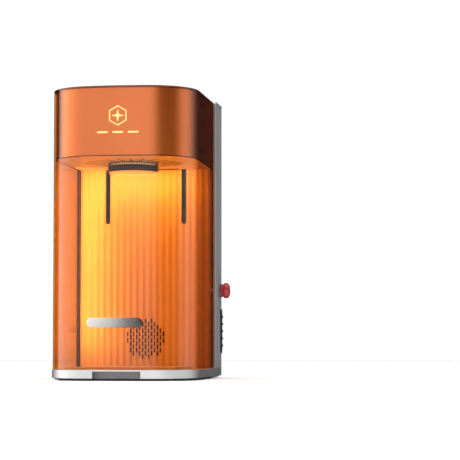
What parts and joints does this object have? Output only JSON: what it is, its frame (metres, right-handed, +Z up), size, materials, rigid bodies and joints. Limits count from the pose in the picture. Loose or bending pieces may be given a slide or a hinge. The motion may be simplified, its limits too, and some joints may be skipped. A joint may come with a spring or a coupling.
{
  "type": "desktop laser engraver",
  "caption": "Enclosed desktop laser engraver: lifting amber hood, copper scan head that focuses up and down, fluted lit rear wall, exhaust, stop button and side focus knob.",
  "frame": {"origin": "on the table, under the middle of the object's outer box", "axes": "+Z up, +X to the right of someone facing the hood, -Y towards them"},
  "size_m": [0.2916, 0.3804, 0.494],
  "materials": {
    "blasted_aluminium": "fine bead-blasted, satin",
    "satin_metal": "satin",
    "amber_sheet": "clear amber, polished",
    "dark_trim": "fine satin black",
    "copper_paint": "metallic copper-orange, satin",
    "pale_panel": "satin off-white",
    "fluted_liner": "semi-gloss, lit by the lamp",
    "lens_black": "black anodised",
    "lens_glass": "coated optical glass",
    "mirror_coat": "polished",
    "machine_metal": "machined",
    "steel": "ground",
    "brass": "machined",
    "rubber": "matt",
    "black_plastic": "moulded",
    "stop_red": "semi-gloss moulded",
    "grey_plastic": "moulded",
    "grey_panel": "powder coated",
    "circuit": "solder resist",
    "badge_print": "pale gold",
    "lamp": "opal diffuser"
  },
  "bodies": {
    "root": {"base_plate": "blasted_aluminium", "under_plate": "dark_trim", "rubber_feet": "rubber", "work_plate": "grey_panel", "side_post_left": "blasted_aluminium", "side_post_right": "blasted_aluminium", "column_cap": "blasted_aluminium", "rear_panel": "grey_panel", "panel_screws": "steel", "rear_wall": "fluted_liner", "corner_seals": "rubber", "spine_plate": "steel", "cover_sensor": "black_plastic", "linear_rails": "steel", "screw_bearings": "machine_metal", "gear_bracket": "machine_metal", "shaft_bush": "brass", "fan_housing": "black_plastic", "exhaust_duct": "black_plastic", "duct_collar": "black_plastic", "power_inlet": "black_plastic", "switch_frame": "black_plastic", "power_supply": "machine_metal", "control_board": "circuit", "stop_collar": "grey_plastic", "stop_switch": "black_plastic", "side_louvre": "black_plastic"},
    "hood": {"amber_cover": "amber_sheet", "top_lid": "copper_paint", "grip_bar": "satin_metal", "grip_posts": "satin_metal", "grip_screws": "steel", "guide_shoes": "black_plastic"},
    "head": {"head_shell": "copper_paint", "head_lid": "dark_trim", "head_sole": "pale_panel", "lens_ring": "lens_black", "lens_barrel": "lens_black", "lens_glass": "lens_glass", "galvo_block": "machine_metal", "galvo_motors": "lens_black", "laser_module": "machine_metal", "head_screws": "black_plastic", "focus_badge": "badge_print", "light_bar": "lamp", "carriage_arms": "machine_metal", "carriage_plate": "machine_metal", "rail_blocks": "steel", "lead_nut": "brass"},
    "mirror_x": {"galvo_mirror_x": "mirror_coat"},
    "mirror_y": {"galvo_mirror_y": "mirror_coat"},
    "screw": {"lead_screw": "steel", "screw_gear": "brass"},
    "knob": {"focus_knob": "machine_metal", "focus_shaft": "steel", "knob_gear": "brass"},
    "fan": {"fan_rotor": "black_plastic"},
    "stop_stem_body": {"stop_stem": "stop_red"},
    "stop_cap_body": {"stop_cap": "stop_red"},
    "rocker": {"power_rocker": "black_plastic"}
  },
  "joints": [
    {"name": "cover_lift", "type": "slide", "parent": "root", "child": "hood", "axis": [0, 0, 1], "range_m": [0, 0.24]},
    {"name": "head_focus", "type": "slide", "parent": "root", "child": "head", "axis": [0, 0, 1], "range_m": [-0.1, 0]},
    {"name": "screw_turn", "type": "hinge", "parent": "root", "child": "screw", "pos_m": [-0.056, 0.12424, 0.2], "axis": [0, 0, 1], "range_deg": [0, 4500]},
    {"name": "knob_turn", "type": "hinge", "parent": "root", "child": "knob", "pos_m": [-0.13, 0.12424, 0.095], "axis": [1, 0, 0], "range_deg": [0, 4500]},
    {"name": "mirror_x_scan", "type": "hinge", "parent": "head", "child": "mirror_x", "pos_m": [0, -0.00676, 0.41], "axis": [0, 0, 1], "range_deg": [-12, 12]},
    {"name": "mirror_y_scan", "type": "hinge", "parent": "head", "child": "mirror_y", "pos_m": [0, -0.03076, 0.41], "axis": [1, 0, 0], "range_deg": [-12, 12]},
    {"name": "fan_spin", "type": "hinge", "parent": "root", "child": "fan", "pos_m": [0, 0.11124, 0.07], "axis": [0, 1, 0], "continuous": true},
    {"name": "stop_press", "type": "slide", "parent": "root", "child": "stop_stem_body", "axis": [-1, 0, 0], "range_m": [0, 0.0035], "stiffness_N_per_m": 1500, "springref_m": -0.004},
    {"name": "stop_twist", "type": "hinge", "parent": "stop_stem_body", "child": "stop_cap_body", "pos_m": [0.135, 0.13624, 0.157], "axis": [1, 0, 0], "range_deg": [0, 35], "stiffness_Nm_per_rad": 0.05},
    {"name": "power_rock", "type": "hinge", "parent": "root", "child": "rocker", "pos_m": [0.078, 0.16624, 0.092], "axis": [1, 0, 0], "range_deg": [0, 18]}
  ],
  "couplings": [
    {"joint": "screw_turn", "follows": "head_focus", "rad_per_m": -785.4},
    {"joint": "knob_turn", "follows": "head_focus", "rad_per_m": -785.4}
  ]
}
